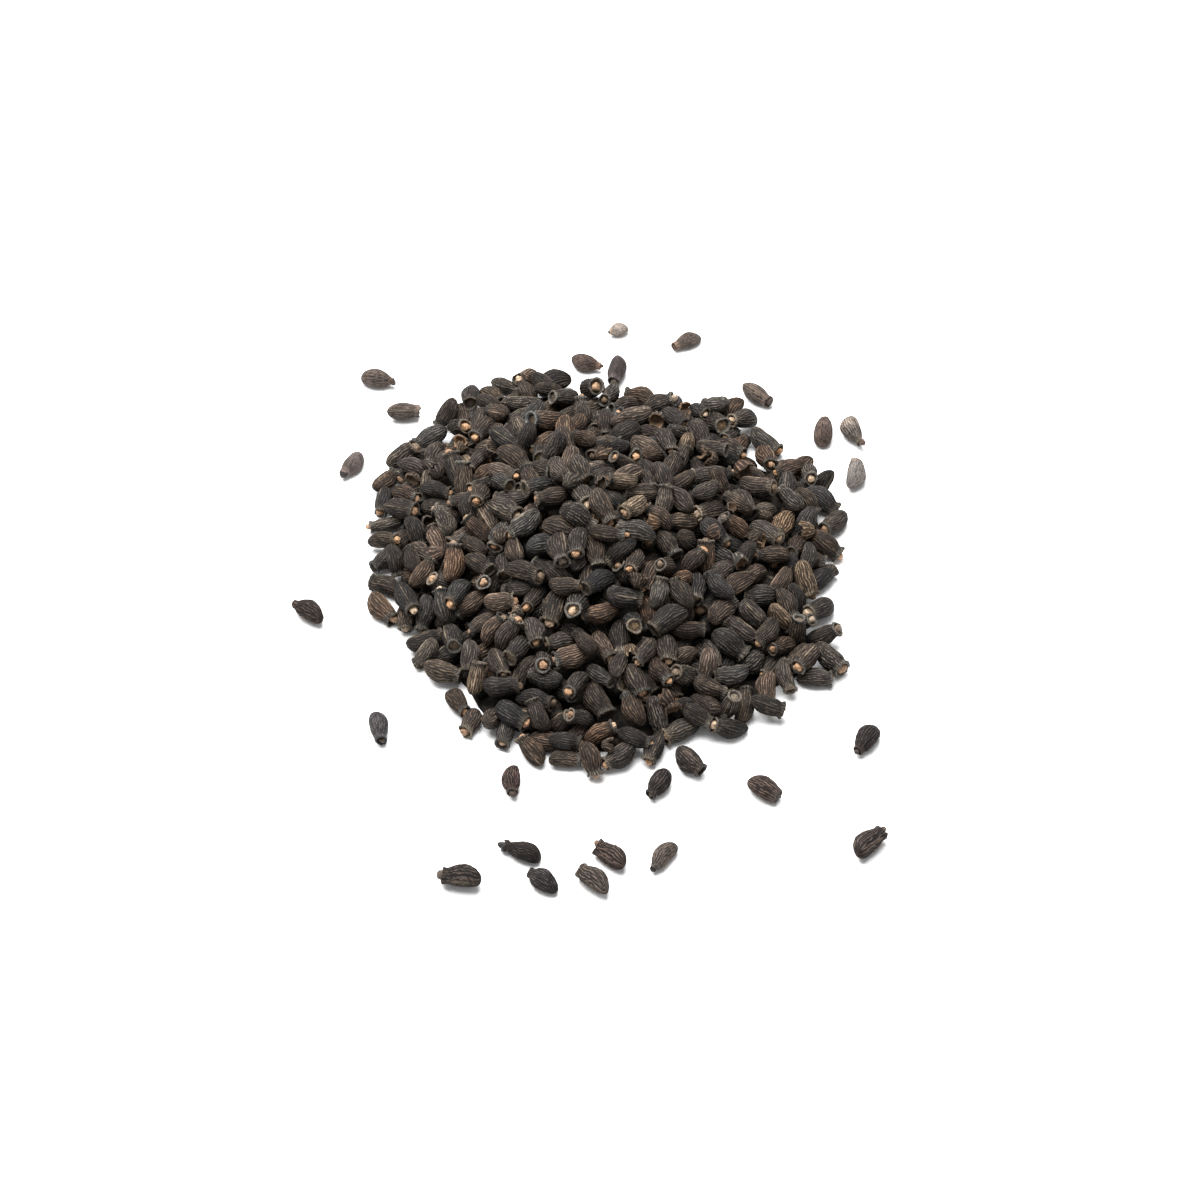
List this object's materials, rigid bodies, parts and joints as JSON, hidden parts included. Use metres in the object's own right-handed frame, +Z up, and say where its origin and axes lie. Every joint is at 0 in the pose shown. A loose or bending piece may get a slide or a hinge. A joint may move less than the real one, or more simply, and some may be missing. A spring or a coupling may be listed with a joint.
{
  "type": "heap of dried borage seeds",
  "caption": "Low loose heap of dark ribbed borage seeds on a flat surface, with single stray seeds scattered round its foot.",
  "frame": {"origin": "middle of the heap's flat underside, on the surface that it lies on", "axes": "+Z up; -Y is the front of the heap, with the broad scatter of stray seeds; +X to the right of that view"},
  "size_m": [0.0779, 0.0986, 0.0158],
  "materials": {
    "dark_hull": "matt, finely ribbed and dusty",
    "pale_hull": "matt, weathered pale"
  },
  "bodies": {
    "root": {"seed_heap": "dark_hull", "stray_seed_01": "pale_hull", "stray_seed_02": "dark_hull", "stray_seed_03": "dark_hull", "stray_seed_04": "dark_hull", "stray_seed_05": "dark_hull", "stray_seed_06": "dark_hull", "stray_seed_07": "dark_hull", "stray_seed_08": "dark_hull", "stray_seed_09": "pale_hull", "stray_seed_10": "dark_hull", "stray_seed_11": "pale_hull", "stray_seed_12": "dark_hull", "stray_seed_13": "dark_hull", "stray_seed_14": "dark_hull", "stray_seed_15": "dark_hull", "stray_seed_16": "dark_hull", "stray_seed_17": "dark_hull", "stray_seed_18": "dark_hull", "stray_seed_19": "dark_hull", "stray_seed_20": "dark_hull", "stray_seed_21": "dark_hull", "stray_seed_22": "dark_hull", "stray_seed_23": "dark_hull", "stray_seed_24": "dark_hull", "stray_seed_25": "dark_hull"}
  },
  "joints": []
}
